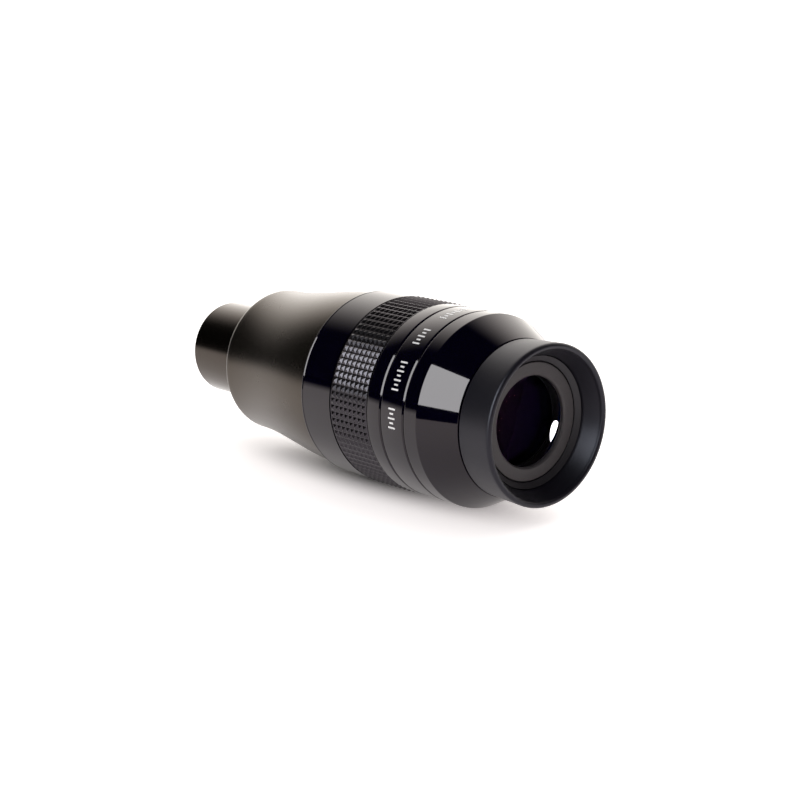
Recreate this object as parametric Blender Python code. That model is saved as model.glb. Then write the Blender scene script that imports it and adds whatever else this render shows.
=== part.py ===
"""Telescope eyepiece: a long wide-field eyepiece with a 1.25 inch nose, lying on its barrel.

World frame: +X is the optical axis, from the field end (the nose) to the eye end, and +Z is up.
The floor is Z = 0 and the origin is below the middle of the overall length.

Every piece is turned about the optical axis. Radii are true radii: each turned piece is a
polygon whose flat sides touch the true circle, with a flat side facing down, so the body
lies steadily and nested pieces keep their play all the way round.
"""

import math

import bmesh
import bpy
from mathutils import Matrix, Vector

# ---------------------------------------------------------------- driving dimensions (metres)

SIDES = 32                     # flat sides of every turned piece
GAP = 0.0003                   # play between neighbouring pieces
EDGE = 0.0004                  # chamfer on the visible edges of the rings

# Lengths of the visible sections, from the nose tip to the eyecup rim
NOSE_REACH = 0.0296
HOUSING_LENGTH = 0.0498
SHOULDER_LENGTH = 0.0146
GRIP_LENGTH = 0.0178
COLLAR_LENGTH = 0.0065
LABEL_LENGTH = 0.0105
FRONT_LENGTH = 0.0060
CONE_LENGTH = 0.0123
CUP_BASE_HEIGHT = 0.0069
SKIRT_HEIGHT = 0.0064

# Body radii and walls, from the outside in
BODY_RADIUS = 0.0303
GRIP_PROUD = 0.0003            # the knurl's crests stand this far above the body
SHOULDER_STEP = 0.0013         # the tapered housing ends this far below the body
RING_WALL = 0.0030
BARREL_WALL = 0.0025
CELL_WALL = 0.0039

# Nose and field-end lens group
NOSE_RADIUS = 0.015875         # 1.25 inch push fit
FILTER_WALL = 0.001625         # leaves a 28.5 mm filter thread in the mouth
FILTER_DEPTH = 0.0075
NOSE_LIP = 0.0015              # ring that the field cell rests on
NOSE_LIP_STEP = 0.0013
NOSE_WALL = 0.0022
NOSE_TAIL = 0.0100             # threaded tail inside the housing
SOCKET_DEPTH = 0.0010          # the nose's full radius enters the housing this far
FIELD_CELL_WALL = 0.0011
FIELD_CELL_LENGTH = 0.0230
FIELD_SEAT = 0.0010
FIELD_EDGE_OUTER = 0.0045      # edge thickness of the two field elements
FIELD_EDGE_INNER = 0.0030
FIELD_HOLLOW = 0.0014          # depth of the concave field surface
FIELD_BOND = 0.0012            # depth of the cemented surface
LOCK_RING_LENGTH = 0.0020
LOCK_RING_WALL = 0.0010

# Tapered housing
HOUSING_END_RADIUS = 0.0242
HOUSING_ROUND = 0.0020         # rounded edge of the field-end face
HOUSING_WALL = 0.0032
HOUSING_FLOOR = 0.0068
SPIGOT_LENGTH = 0.0088         # the tail that carries the shoulder ring
STOP_SEAT_DEPTH = 0.0040       # counterbore in front of the spigot, for the field stop
BAFFLE_PLACE = 0.0220          # from the housing floor
BAFFLE_THICKNESS = 0.0012
BAFFLE_HOLE = 0.0100
STOP_THICKNESS = 0.0015
STOP_HOLE = 0.0079
STOP_RING_LENGTH = 0.0020

# Eye-side lens cell and its stack
BARREL_LIP = 0.0010
BARREL_LIP_DEPTH = 0.0022
BARREL_TAIL = 0.0022           # how far the main barrel enters the cone cap
MID_LENS_STEP = 0.0020         # the middle lens is this much wider than the eye lens
MID_WALL = 0.0018
EYE_LENS_RADIUS = 0.0150
EYE_LENS_LAP = 0.0014          # the ring between the two front lenses laps the eye lens
TIP_WALL = 0.0020
SEAT = 0.0010                  # thickness of the ring between the two front lenses
CROWN_EDGE = 0.0035            # edge thickness of the wide elements
FLINT_EDGE = 0.0060
MID_EDGE = 0.0040
SPACER_WALL = 0.0012
FRONT_SPACER_LENGTH = 0.0050
CURVE_STRONG = 0.0032          # depth of the strongly and lightly curved glass surfaces
CURVE_LIGHT = 0.0014
EYE_BACK_CURVE = 0.0007

# Eye end
BEZEL_LAP = 0.00095            # the bezel laps the eye lens, and reaches past its cell
BEZEL_REACH = 0.0010
BEZEL_THICKNESS = 0.0016
NECK_WALL = 0.0017
NECK_BEVEL = 0.0012
BEAD_PLACE = 0.0015            # the rubber bead, from the foot of the cup
BEAD_LENGTH = 0.0020
BEAD_DEPTH = 0.0011
CUP_WALL = 0.0038
CUP_FLARE = 0.0006
RIM_WIDTH = 0.0020

# ------------------------------------------------------------------------ derived stations (x)

OVERALL_LENGTH = (NOSE_REACH + HOUSING_LENGTH + SHOULDER_LENGTH + GRIP_LENGTH + COLLAR_LENGTH
                  + LABEL_LENGTH + FRONT_LENGTH + CONE_LENGTH + CUP_BASE_HEIGHT + SKIRT_HEIGHT)
X_NOSE = -OVERALL_LENGTH / 2
X_HOUSING = X_NOSE + NOSE_REACH
X_SHOULDER = X_HOUSING + HOUSING_LENGTH
X_GRIP = X_SHOULDER + SHOULDER_LENGTH
X_COLLAR = X_GRIP + GRIP_LENGTH
X_LABEL = X_COLLAR + COLLAR_LENGTH
X_FRONT = X_LABEL + LABEL_LENGTH
X_CONE = X_FRONT + FRONT_LENGTH
X_CUP = X_CONE + CONE_LENGTH
X_FOLD = X_CUP + CUP_BASE_HEIGHT
X_RIM = X_FOLD + SKIRT_HEIGHT

X_SPIGOT_END = X_SHOULDER + SPIGOT_LENGTH
X_BARREL = X_SPIGOT_END + GAP
X_BARREL_END = X_FRONT + BARREL_TAIL

# ------------------------------------------------------------------------------ derived radii

GRIP_RADIUS = BODY_RADIUS + GRIP_PROUD
AXIS_HEIGHT = GRIP_RADIUS          # the knurl's crests touch the floor
RING_BORE = BODY_RADIUS - RING_WALL
BARREL_RADIUS = RING_BORE - GAP
BARREL_BORE = BARREL_RADIUS - BARREL_WALL
CELL_RADIUS = BARREL_BORE - GAP
CELL_BORE = CELL_RADIUS - CELL_WALL
WIDE_LENS_RADIUS = CELL_BORE - GAP

FILTER_RADIUS = NOSE_RADIUS - FILTER_WALL
NOSE_BORE = NOSE_RADIUS - NOSE_WALL
NOSE_LIP_RADIUS = NOSE_BORE - NOSE_LIP_STEP
FIELD_CELL_RADIUS = NOSE_BORE - GAP
FIELD_CELL_BORE = FIELD_CELL_RADIUS - FIELD_CELL_WALL
FIELD_LENS_RADIUS = FIELD_CELL_BORE - GAP
NOSE_TAIL_RADIUS = NOSE_RADIUS - EDGE
HOUSING_BORE = HOUSING_END_RADIUS - HOUSING_WALL

MID_LENS_RADIUS = EYE_LENS_RADIUS + MID_LENS_STEP
MID_BORE = MID_LENS_RADIUS + GAP
MID_CELL_RADIUS = MID_BORE + MID_WALL
CAP_MID_BORE = MID_CELL_RADIUS + GAP
EYE_STOP_RADIUS = EYE_LENS_RADIUS - EYE_LENS_LAP
EYE_BORE = EYE_LENS_RADIUS + GAP
CELL_TIP_RADIUS = EYE_BORE + TIP_WALL
BEZEL_OPENING = EYE_LENS_RADIUS - BEZEL_LAP
BEZEL_RADIUS = CELL_TIP_RADIUS + BEZEL_REACH
NECK_BORE = CELL_TIP_RADIUS + GAP
NECK_MOUTH = BEZEL_RADIUS + GAP
NECK_RADIUS = NECK_MOUTH + NECK_WALL
CUP_BORE = NECK_RADIUS + GAP
CUP_RADIUS = CUP_BORE + CUP_WALL
RIM_RADIUS = CUP_RADIUS + CUP_FLARE


# ------------------------------------------------------------------------------ making pieces

def finish(name, colour, roughness, metallic=0.0, transmission=0.0):
    """A plain Principled material for one piece."""
    material = bpy.data.materials.new(name + "_finish")
    material.use_nodes = True
    shader = material.node_tree.nodes["Principled BSDF"]
    shader.inputs["Base Color"].default_value = (*colour, 1.0)
    shader.inputs["Roughness"].default_value = roughness
    shader.inputs["Metallic"].default_value = metallic
    shader.inputs["Transmission Weight"].default_value = transmission
    return material


SATIN_ANODISE = {"colour": (0.035, 0.032, 0.030), "roughness": 0.35, "metallic": 0.7}
GLOSS_ANODISE = {"colour": (0.010, 0.010, 0.012), "roughness": 0.15, "metallic": 0.5}
MATT_BLACK = {"colour": (0.015, 0.015, 0.015), "roughness": 0.8}
BEZEL_GREY = {"colour": (0.060, 0.058, 0.058), "roughness": 0.6}
RUBBER = {"colour": (0.020, 0.020, 0.021), "roughness": 0.65}
GLASS = {"colour": (0.80, 0.78, 0.85), "roughness": 0.02, "transmission": 1.0}


def turned(name, outline, look, closed=True):
    """Spin an outline of (x, radius) points about the optical axis into a solid.

    A closed outline makes a ring; an open one starts and ends on the axis and makes a lens.
    """
    origin = outline[0][0]
    to_corner = 1.0 / math.cos(math.pi / SIDES)
    half_side = Matrix.Rotation(math.pi / SIDES, 4, "X")
    bm = bmesh.new()
    points = [bm.verts.new(half_side @ Vector((x - origin, 0.0, r * to_corner))) for x, r in outline]
    pairs = list(zip(points, points[1:]))
    if closed:
        pairs.append((points[-1], points[0]))
    edges = [bm.edges.new(pair) for pair in pairs]
    bmesh.ops.spin(bm, geom=points + edges, cent=(0, 0, 0), axis=(1, 0, 0), dvec=(0, 0, 0),
                   angle=2 * math.pi, steps=SIDES, use_merge=True, use_duplicate=False)
    bmesh.ops.remove_doubles(bm, verts=bm.verts, dist=1e-7)
    bmesh.ops.recalc_face_normals(bm, faces=bm.faces)
    mesh = bpy.data.meshes.new(name)
    bm.to_mesh(mesh)
    bm.free()
    mesh.shade_smooth()
    mesh.set_sharp_from_angle(angle=math.radians(25))
    mesh.materials.append(finish(name, **look))
    piece = bpy.data.objects.new(name, mesh)
    piece.location.x = origin
    piece.parent = optical_axis
    bpy.context.scene.collection.objects.link(piece)
    return piece


def sleeve(name, x0, x1, bore, radius, look):
    """A plain tube or flat ring."""
    return turned(name, [(x0, radius), (x1, radius), (x1, bore), (x0, bore)], look)


def lens(name, x0, x1, radius, bulge0, bulge1):
    """A glass element. Its edge runs from x0 to x1, and each bulge is how far that surface
    stands out at the middle, or sinks in where it is negative."""
    rings = (0.0, 0.5, 0.8, 1.0)
    field_side = [(x0 - bulge0 * (1 - k * k), radius * k) for k in rings]
    eye_side = [(x1 + bulge1 * (1 - k * k), radius * k) for k in reversed(rings)]
    return turned(name, field_side + eye_side, GLASS, closed=False)


def crown_rise(bulge, radius, at_radius):
    """How far a bulging surface stands out where a spacer of bore at_radius meets it."""
    return max(0.0, bulge * (1 - (at_radius / radius) ** 2))


for old in list(bpy.data.objects):
    bpy.data.objects.remove(old, do_unlink=True)

optical_axis = bpy.data.objects.new("optical_axis", None)
optical_axis.location.z = AXIS_HEIGHT
bpy.context.scene.collection.objects.link(optical_axis)

# -------------------------------------------------------------------- nose and field-end group

x_filter = X_NOSE + FILTER_DEPTH
x_nose_seat = x_filter + NOSE_LIP
x_nose_end = X_HOUSING + NOSE_TAIL
x_socket = X_HOUSING + SOCKET_DEPTH
turned("nose_barrel", [
    (X_NOSE, NOSE_RADIUS - EDGE), (X_NOSE + EDGE, NOSE_RADIUS),
    (x_socket - GAP, NOSE_RADIUS), (x_socket - GAP, NOSE_TAIL_RADIUS),
    (x_nose_end, NOSE_TAIL_RADIUS), (x_nose_end, NOSE_BORE),
    (x_nose_seat, NOSE_BORE), (x_nose_seat, NOSE_LIP_RADIUS),
    (x_filter, NOSE_LIP_RADIUS), (x_filter, FILTER_RADIUS), (X_NOSE, FILTER_RADIUS),
], SATIN_ANODISE)

x_field_cell = x_nose_seat + GAP
x_field_seat = x_field_cell + FIELD_SEAT
x_field_cell_end = x_field_cell + FIELD_CELL_LENGTH
field_seat_radius = FIELD_LENS_RADIUS - FIELD_CELL_WALL
turned("field_cell", [
    (x_field_cell, FIELD_CELL_RADIUS), (x_field_cell_end, FIELD_CELL_RADIUS),
    (x_field_cell_end, FIELD_CELL_BORE), (x_field_seat, FIELD_CELL_BORE),
    (x_field_seat, field_seat_radius), (x_field_cell, field_seat_radius),
], MATT_BLACK)

x_outer_lens = x_field_seat + GAP
x_inner_lens = x_outer_lens + FIELD_EDGE_OUTER + GAP
field_ring_bore = FIELD_LENS_RADIUS - LOCK_RING_WALL
x_field_ring = (x_inner_lens + FIELD_EDGE_INNER + GAP
                + crown_rise(FIELD_HOLLOW, FIELD_LENS_RADIUS, field_ring_bore))
lens("field_lens_outer", x_outer_lens, x_outer_lens + FIELD_EDGE_OUTER,
     FIELD_LENS_RADIUS, -FIELD_HOLLOW, -FIELD_BOND)
lens("field_lens_inner", x_inner_lens, x_inner_lens + FIELD_EDGE_INNER,
     FIELD_LENS_RADIUS, FIELD_BOND, FIELD_HOLLOW)
sleeve("field_retaining_ring", x_field_ring, x_field_ring + LOCK_RING_LENGTH,
       field_ring_bore, FIELD_LENS_RADIUS, MATT_BLACK)
sleeve("nose_lock_ring", x_field_cell_end + GAP, x_field_cell_end + GAP + LOCK_RING_LENGTH,
       FIELD_CELL_RADIUS - LOCK_RING_WALL, FIELD_CELL_RADIUS, MATT_BLACK)

# --------------------------------------------------------------------------- tapered housing

HOUSING_WIDE_RADIUS = BODY_RADIUS - SHOULDER_STEP
TAPER_STEPS = 6
taper = []
for step in range(TAPER_STEPS + 1):
    share = step / TAPER_STEPS
    swell = (1 - math.cos(math.pi * share)) / 2
    taper.append((X_HOUSING + HOUSING_ROUND + share * (HOUSING_LENGTH - HOUSING_ROUND),
                  HOUSING_END_RADIUS + swell * (HOUSING_WIDE_RADIUS - HOUSING_END_RADIUS)))

x_floor = X_HOUSING + HOUSING_FLOOR
x_stop_seat = X_SHOULDER - STOP_SEAT_DEPTH
housing_hole = NOSE_TAIL_RADIUS + GAP
socket_radius = NOSE_RADIUS + GAP
turned("tapered_housing", [
    (X_HOUSING, HOUSING_END_RADIUS - HOUSING_ROUND),
    (X_HOUSING + HOUSING_ROUND * 0.3, HOUSING_END_RADIUS - HOUSING_ROUND * 0.3),
    *taper,
    (X_SHOULDER, BARREL_RADIUS), (X_SPIGOT_END, BARREL_RADIUS), (X_SPIGOT_END, BARREL_BORE),
    (x_stop_seat, BARREL_BORE), (x_stop_seat, HOUSING_BORE), (x_floor, HOUSING_BORE),
    (x_floor, housing_hole), (x_socket, housing_hole),
    (x_socket, socket_radius), (X_HOUSING, socket_radius),
], SATIN_ANODISE)

x_baffle = x_floor + BAFFLE_PLACE
sleeve("light_baffle", x_baffle, x_baffle + BAFFLE_THICKNESS,
       BAFFLE_HOLE, HOUSING_BORE - GAP, MATT_BLACK)
x_stop = x_stop_seat + GAP
sleeve("field_stop", x_stop, x_stop + STOP_THICKNESS, STOP_HOLE, CELL_RADIUS, MATT_BLACK)
x_stop_ring = x_stop + STOP_THICKNESS + GAP
sleeve("field_stop_ring", x_stop_ring, x_stop_ring + STOP_RING_LENGTH,
       CELL_RADIUS - BARREL_LIP_DEPTH, CELL_RADIUS, MATT_BLACK)

# ------------------------------------------------------------------- main barrel and its rings

x_cell = X_BARREL + BARREL_LIP + GAP
lip_radius = BARREL_BORE - BARREL_LIP_DEPTH
turned("main_barrel", [
    (X_BARREL, BARREL_RADIUS), (X_BARREL_END, BARREL_RADIUS), (X_BARREL_END, BARREL_BORE),
    (X_BARREL + BARREL_LIP, BARREL_BORE), (X_BARREL + BARREL_LIP, lip_radius),
    (X_BARREL, lip_radius),
], MATT_BLACK)

turned("shoulder_ring", [
    (X_SHOULDER + GAP, BODY_RADIUS - EDGE), (X_SHOULDER + GAP + EDGE, BODY_RADIUS),
    (X_GRIP, BODY_RADIUS), (X_GRIP, RING_BORE), (X_SHOULDER + GAP, RING_BORE),
], GLOSS_ANODISE)

turned("grip_ring", [
    (X_GRIP + GAP, GRIP_RADIUS - EDGE), (X_GRIP + GAP + EDGE, GRIP_RADIUS),
    (X_COLLAR - EDGE, GRIP_RADIUS), (X_COLLAR, GRIP_RADIUS - EDGE),
    (X_COLLAR, RING_BORE), (X_GRIP + GAP, RING_BORE),
], SATIN_ANODISE)

turned("collar_ring", [
    (X_COLLAR + GAP, BODY_RADIUS), (X_LABEL - EDGE, BODY_RADIUS), (X_LABEL, BODY_RADIUS - EDGE),
    (X_LABEL, RING_BORE), (X_COLLAR + GAP, RING_BORE),
], GLOSS_ANODISE)

turned("label_ring", [
    (X_LABEL + GAP, BODY_RADIUS - EDGE), (X_LABEL + GAP + EDGE, BODY_RADIUS),
    (X_FRONT - EDGE, BODY_RADIUS), (X_FRONT, BODY_RADIUS - EDGE),
    (X_FRONT, RING_BORE), (X_LABEL + GAP, RING_BORE),
], GLOSS_ANODISE)

# ------------------------------------------------------------------ eye-side cell and cone cap

x_wide_seat = X_FRONT - GAP
x_cell_step = x_wide_seat + BARREL_LIP
x_bezel_face = X_FOLD - NECK_BEVEL
x_bezel = x_bezel_face - BEZEL_THICKNESS
x_bezel_seat = x_bezel - GAP
x_cell_tip = x_bezel_seat - GAP
x_eye_seat = X_CUP - 2 * SEAT
x_mid_seat = x_eye_seat - SEAT
turned("eye_cell", [
    (x_cell, CELL_RADIUS), (x_cell_step, CELL_RADIUS), (x_cell_step, MID_CELL_RADIUS),
    (x_eye_seat, MID_CELL_RADIUS), (x_eye_seat, CELL_TIP_RADIUS), (x_cell_tip, CELL_TIP_RADIUS),
    (x_cell_tip, EYE_BORE), (x_eye_seat, EYE_BORE), (x_eye_seat, EYE_STOP_RADIUS),
    (x_mid_seat, EYE_STOP_RADIUS), (x_mid_seat, MID_BORE), (x_wide_seat, MID_BORE),
    (x_wide_seat, CELL_BORE), (x_cell, CELL_BORE),
], MATT_BLACK)

x_cap_floor = X_BARREL_END + GAP
x_bead = X_CUP + BEAD_PLACE
x_bead_end = x_bead + BEAD_LENGTH
neck_groove = NECK_RADIUS - BEAD_DEPTH
turned("cone_cap", [
    (X_FRONT + GAP, BODY_RADIUS - EDGE), (X_FRONT + GAP + EDGE, BODY_RADIUS),
    (X_CONE, BODY_RADIUS), (X_CUP - GAP, CUP_RADIUS), (X_CUP - GAP, NECK_RADIUS),
    (x_bead, NECK_RADIUS), (x_bead, neck_groove), (x_bead_end, neck_groove),
    (x_bead_end, NECK_RADIUS), (X_FOLD, NECK_RADIUS), (x_bezel_face, NECK_MOUTH),
    (x_bezel_seat, NECK_MOUTH), (x_bezel_seat, NECK_BORE), (x_eye_seat + GAP, NECK_BORE),
    (x_eye_seat + GAP, CAP_MID_BORE), (x_cap_floor, CAP_MID_BORE), (x_cap_floor, RING_BORE),
    (X_FRONT + GAP, RING_BORE),
], GLOSS_ANODISE)

# ---------------------------------------------------------------------------- eye-side lenses

x_eye_lens = x_eye_seat + GAP + crown_rise(EYE_BACK_CURVE, EYE_LENS_RADIUS, EYE_STOP_RADIUS)
lens("eye_lens", x_eye_lens, x_cell_tip, EYE_LENS_RADIUS, EYE_BACK_CURVE, CURVE_LIGHT)

x_mid_lens_end = x_mid_seat - GAP - crown_rise(CURVE_LIGHT, MID_LENS_RADIUS, EYE_STOP_RADIUS)
x_mid_lens = x_mid_lens_end - MID_EDGE
lens("middle_lens", x_mid_lens, x_mid_lens_end, MID_LENS_RADIUS, -CURVE_LIGHT, CURVE_LIGHT)

# The wide stack runs from its seat at the front of the cell back to the retaining ring.
# A spacer stops short of a bulging surface by the height of the bulge at its bore.
spacer_bore = WIDE_LENS_RADIUS - SPACER_WALL
strong_rise = crown_rise(CURVE_STRONG, WIDE_LENS_RADIUS, spacer_bore)
light_rise = crown_rise(CURVE_LIGHT, WIDE_LENS_RADIUS, spacer_bore)

x_front_crown_end = x_wide_seat - GAP - crown_rise(CURVE_LIGHT, WIDE_LENS_RADIUS, MID_BORE)
x_front_crown = x_front_crown_end - CROWN_EDGE
x_front_flint = x_front_crown - GAP - FLINT_EDGE
lens("front_crown_lens", x_front_crown, x_front_crown_end,
     WIDE_LENS_RADIUS, CURVE_STRONG, CURVE_LIGHT)
lens("front_flint_lens", x_front_flint, x_front_flint + FLINT_EDGE,
     WIDE_LENS_RADIUS, CURVE_LIGHT, -CURVE_STRONG)

middle_spacer_bore = MID_LENS_RADIUS - SPACER_WALL
middle_rise = crown_rise(CURVE_LIGHT, WIDE_LENS_RADIUS, middle_spacer_bore)
sleeve("middle_spacer", x_front_crown_end + GAP + middle_rise, x_mid_lens - GAP,
       middle_spacer_bore, MID_LENS_RADIUS, MATT_BLACK)

x_front_spacer_end = x_front_flint - GAP - light_rise
x_front_spacer = x_front_spacer_end - FRONT_SPACER_LENGTH
sleeve("front_spacer", x_front_spacer, x_front_spacer_end,
       spacer_bore, WIDE_LENS_RADIUS, MATT_BLACK)

x_rear_crown = x_front_spacer - GAP - strong_rise - CROWN_EDGE
x_rear_flint = x_rear_crown - GAP - FLINT_EDGE
lens("rear_crown_lens", x_rear_crown, x_rear_crown + CROWN_EDGE,
     WIDE_LENS_RADIUS, CURVE_STRONG, CURVE_STRONG)
lens("rear_flint_lens", x_rear_flint, x_rear_flint + FLINT_EDGE,
     WIDE_LENS_RADIUS, -CURVE_LIGHT, -CURVE_STRONG)

# The rear spacer takes up what is left between the doublet and the collector lens.
x_ring = x_cell + GAP
x_collector = x_ring + LOCK_RING_LENGTH + GAP
lens("collector_lens", x_collector, x_collector + CROWN_EDGE,
     WIDE_LENS_RADIUS, -CURVE_LIGHT, CURVE_STRONG)
sleeve("rear_spacer", x_collector + CROWN_EDGE + GAP + strong_rise, x_rear_flint - GAP,
       spacer_bore, WIDE_LENS_RADIUS, MATT_BLACK)
sleeve("cell_retaining_ring", x_ring, x_ring + LOCK_RING_LENGTH,
       spacer_bore, WIDE_LENS_RADIUS, MATT_BLACK)

turned("bezel_ring", [
    (x_bezel, BEZEL_RADIUS), (x_bezel_face, BEZEL_RADIUS), (x_bezel_face, BEZEL_OPENING + EDGE),
    (x_bezel_face - EDGE, BEZEL_OPENING), (x_bezel, BEZEL_OPENING),
], BEZEL_GREY)

# ------------------------------------------------------------------------------ rubber eyecup

# The base grips a groove in the cone cap's neck with a bead on its inside.
turned("eyecup_base", [
    (X_CUP, CUP_RADIUS), (X_FOLD, CUP_RADIUS), (X_FOLD, CUP_BORE),
    (x_bead_end - GAP, CUP_BORE), (x_bead_end - GAP, neck_groove + GAP),
    (x_bead + GAP, neck_groove + GAP), (x_bead + GAP, CUP_BORE), (X_CUP, CUP_BORE),
], RUBBER)

# The skirt rolls down over the base for an observer with glasses; its origin is on the fold.
x_fold_start = X_FOLD + GAP
rim_round = RIM_WIDTH / 2
rim_middle = RIM_RADIUS - rim_round
turned("eyecup_skirt", [
    (x_fold_start, CUP_RADIUS), (X_RIM - rim_round, RIM_RADIUS),
    (X_RIM - rim_round * 0.3, rim_middle + rim_round * 0.7), (X_RIM, rim_middle),
    (X_RIM - rim_round * 0.3, rim_middle - rim_round * 0.7),
    (X_RIM - rim_round, RIM_RADIUS - RIM_WIDTH), (x_fold_start, CUP_BORE),
], RUBBER)

bpy.context.view_layer.update()
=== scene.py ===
# %% [markdown]
# # A wide-field telescope eyepiece
# The imported CAD model is the frame of this scene: every position below is read from its nodes,
# and the smooth visible pieces are turned around the same optical axis. Loading it comes first.

# %% Load the frame
import math

import bmesh
import bpy
from mathutils import Matrix, Vector


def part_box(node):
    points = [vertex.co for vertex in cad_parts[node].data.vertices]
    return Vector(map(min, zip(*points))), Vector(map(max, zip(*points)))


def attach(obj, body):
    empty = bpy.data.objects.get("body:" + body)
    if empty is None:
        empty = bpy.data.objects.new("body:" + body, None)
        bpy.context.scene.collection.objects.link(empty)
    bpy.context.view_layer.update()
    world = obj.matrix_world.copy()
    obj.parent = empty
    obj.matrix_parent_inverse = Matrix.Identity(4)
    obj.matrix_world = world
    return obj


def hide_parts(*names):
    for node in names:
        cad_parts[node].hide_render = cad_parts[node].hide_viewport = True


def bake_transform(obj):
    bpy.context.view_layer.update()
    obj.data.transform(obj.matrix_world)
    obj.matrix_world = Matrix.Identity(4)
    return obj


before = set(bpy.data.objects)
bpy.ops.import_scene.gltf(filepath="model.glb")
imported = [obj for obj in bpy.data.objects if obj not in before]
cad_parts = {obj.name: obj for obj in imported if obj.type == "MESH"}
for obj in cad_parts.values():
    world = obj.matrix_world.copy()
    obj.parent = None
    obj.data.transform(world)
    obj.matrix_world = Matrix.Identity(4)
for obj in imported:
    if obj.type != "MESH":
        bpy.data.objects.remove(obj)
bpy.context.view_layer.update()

MM = 0.001

# %% [markdown]
# ## Measuring from the frame
# A turned piece needs only three numbers to take its place: where it starts and ends along the
# optical axis, and its largest radius. They come from the box of its CAD node, so a change of
# size in the CAD model moves the visible piece with it.

# %% Stations along the optical axis
AXIS_HEIGHT = (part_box("grip_ring")[0].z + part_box("grip_ring")[1].z) / 2


def span(node):
    """Start, end and outer radius of a turned CAD node, in metres."""
    low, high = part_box(node)
    return low.x, high.x, (high.y - low.y) / 2


nose_x0, nose_x1, nose_radius = span("nose_barrel")
housing_x0, housing_x1, housing_radius = span("tapered_housing")
shoulder_x0, shoulder_x1, body_radius = span("shoulder_ring")
grip_x0, grip_x1, grip_radius = span("grip_ring")
collar_x0, collar_x1, _ = span("collar_ring")
label_x0, label_x1, _ = span("label_ring")
cap_x0, cap_x1, _ = span("cone_cap")
cup_x0, fold_x, cup_radius = span("eyecup_base")
_, rim_x, rim_radius = span("eyecup_skirt")
bezel_x0, bezel_x1, bezel_radius = span("bezel_ring")
print(f"axis {AXIS_HEIGHT / MM:.1f} mm above the floor, rim at x = {rim_x / MM:.1f} mm")

# %% [markdown]
# ## Camera
# A product view is taken with a long lens from a little above the bench, so that the barrels
# keep their proportions. The camera stands on the side of the eye end and looks along the body.
# It is placed by three readable numbers, an azimuth, an elevation and a distance, from a point
# that it aims at.

# %% Place the camera
AZIMUTH = math.radians(49.05)
ELEVATION = math.radians(12.93)
DISTANCE = 600 * MM
AIM = Vector((20.1, -6.5, 29.2)) * MM
LENS_MM = 84.97

forward = Vector((-math.sin(AZIMUTH) * math.cos(ELEVATION),
                  math.cos(AZIMUTH) * math.cos(ELEVATION), -math.sin(ELEVATION)))
camera_data = bpy.data.cameras.new("studio_camera")
camera_data.lens = LENS_MM
camera_data.sensor_width = 36
camera_data.clip_start = 0.01
camera_data.clip_end = 100
camera = bpy.data.objects.new("studio_camera", camera_data)
camera.location = AIM - forward * DISTANCE
camera.rotation_euler = forward.to_track_quat("-Z", "Y").to_euler()
bpy.context.scene.collection.objects.link(camera)
bpy.context.scene.camera = camera
print("camera at", [round(v, 3) for v in camera.location])

# %% [markdown]
# ## Materials: the helpers
# Shader trees are easier to read when one small function adds every node: it takes the node's
# settings and its inputs, where an input is either a value or another node's output socket.
# Colours are written as the hex values that a painter would pick on a screen, and one function
# turns them to the linear values that the renderer works with.

# %% Colour and node helpers
def linear(hex_colour):
    """An sRGB colour such as "#2a2725" as linear red, green, blue and alpha."""
    channels = [int(hex_colour[i:i + 2], 16) / 255 for i in (1, 3, 5)]
    return [c / 12.92 if c <= 0.04045 else ((c + 0.055) / 1.055) ** 2.4 for c in channels] + [1.0]


def add_node(material, kind, settings=None, inputs=None):
    """Adds a node, sets its properties, and fills each input with a value or a link."""
    tree = material.node_tree
    node = tree.nodes.new(kind)
    for key, value in (settings or {}).items():
        setattr(node, key, value)
    for key, value in (inputs or {}).items():
        if isinstance(value, bpy.types.NodeSocket):
            tree.links.new(value, node.inputs[key])
        else:
            node.inputs[key].default_value = value
    return node


def new_material(name, **shader_inputs):
    """A Principled material; shader inputs are named with underscores for spaces."""
    material = bpy.data.materials.new(name)
    material.use_nodes = True
    shader = material.node_tree.nodes["Principled BSDF"]
    for key, value in shader_inputs.items():
        shader.inputs[key.replace("_", " ")].default_value = value
    return material, shader


def object_place(material):
    """The point on the object, in metres, that patterns are measured from."""
    return add_node(material, "ShaderNodeTexCoord").outputs["Object"]


def noise(material, place, size, detail=2.0):
    """Cloudy grain whose lumps are about size metres across."""
    return add_node(material, "ShaderNodeTexNoise", {},
                    {"Vector": place, "Scale": 1 / size, "Detail": detail,
                     "Roughness": 0.55}).outputs["Fac"]


def uneven_gloss(material, shader, pattern, low, high):
    """Roughness that follows a 0 to 1 pattern from low to high."""
    spread = add_node(material, "ShaderNodeMapRange", {},
                      {"Value": pattern, "To Min": low, "To Max": high})
    material.node_tree.links.new(spread.outputs["Result"], shader.inputs["Roughness"])


def roughen(material, shader, height, distance, strength):
    """A bump of at most distance metres on the shader."""
    bump = add_node(material, "ShaderNodeBump", {},
                    {"Height": height, "Distance": distance, "Strength": strength})
    material.node_tree.links.new(bump.outputs["Normal"], shader.inputs["Normal"])


print("a mid grey is", [round(c, 3) for c in linear("#808080")[:3]])

# %% [markdown]
# ## Anodised aluminium
# Every metal piece of an eyepiece is aluminium, turned on a lathe and dyed black in the
# anodising bath. Two finishes are seen. Satin parts are bead-blasted before the bath, so they
# reflect the bench as a warm grey blur. Polished parts keep a hard gloss, like a piano's, and
# reflect little at their middle and nearly all at their edges. The satin one is a dark metal.
# The polished one is a clear oxide layer over dye, so it is a dark non-metal with the oxide's
# own IOR. Fine lathe marks and a fine grain break both up.

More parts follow.
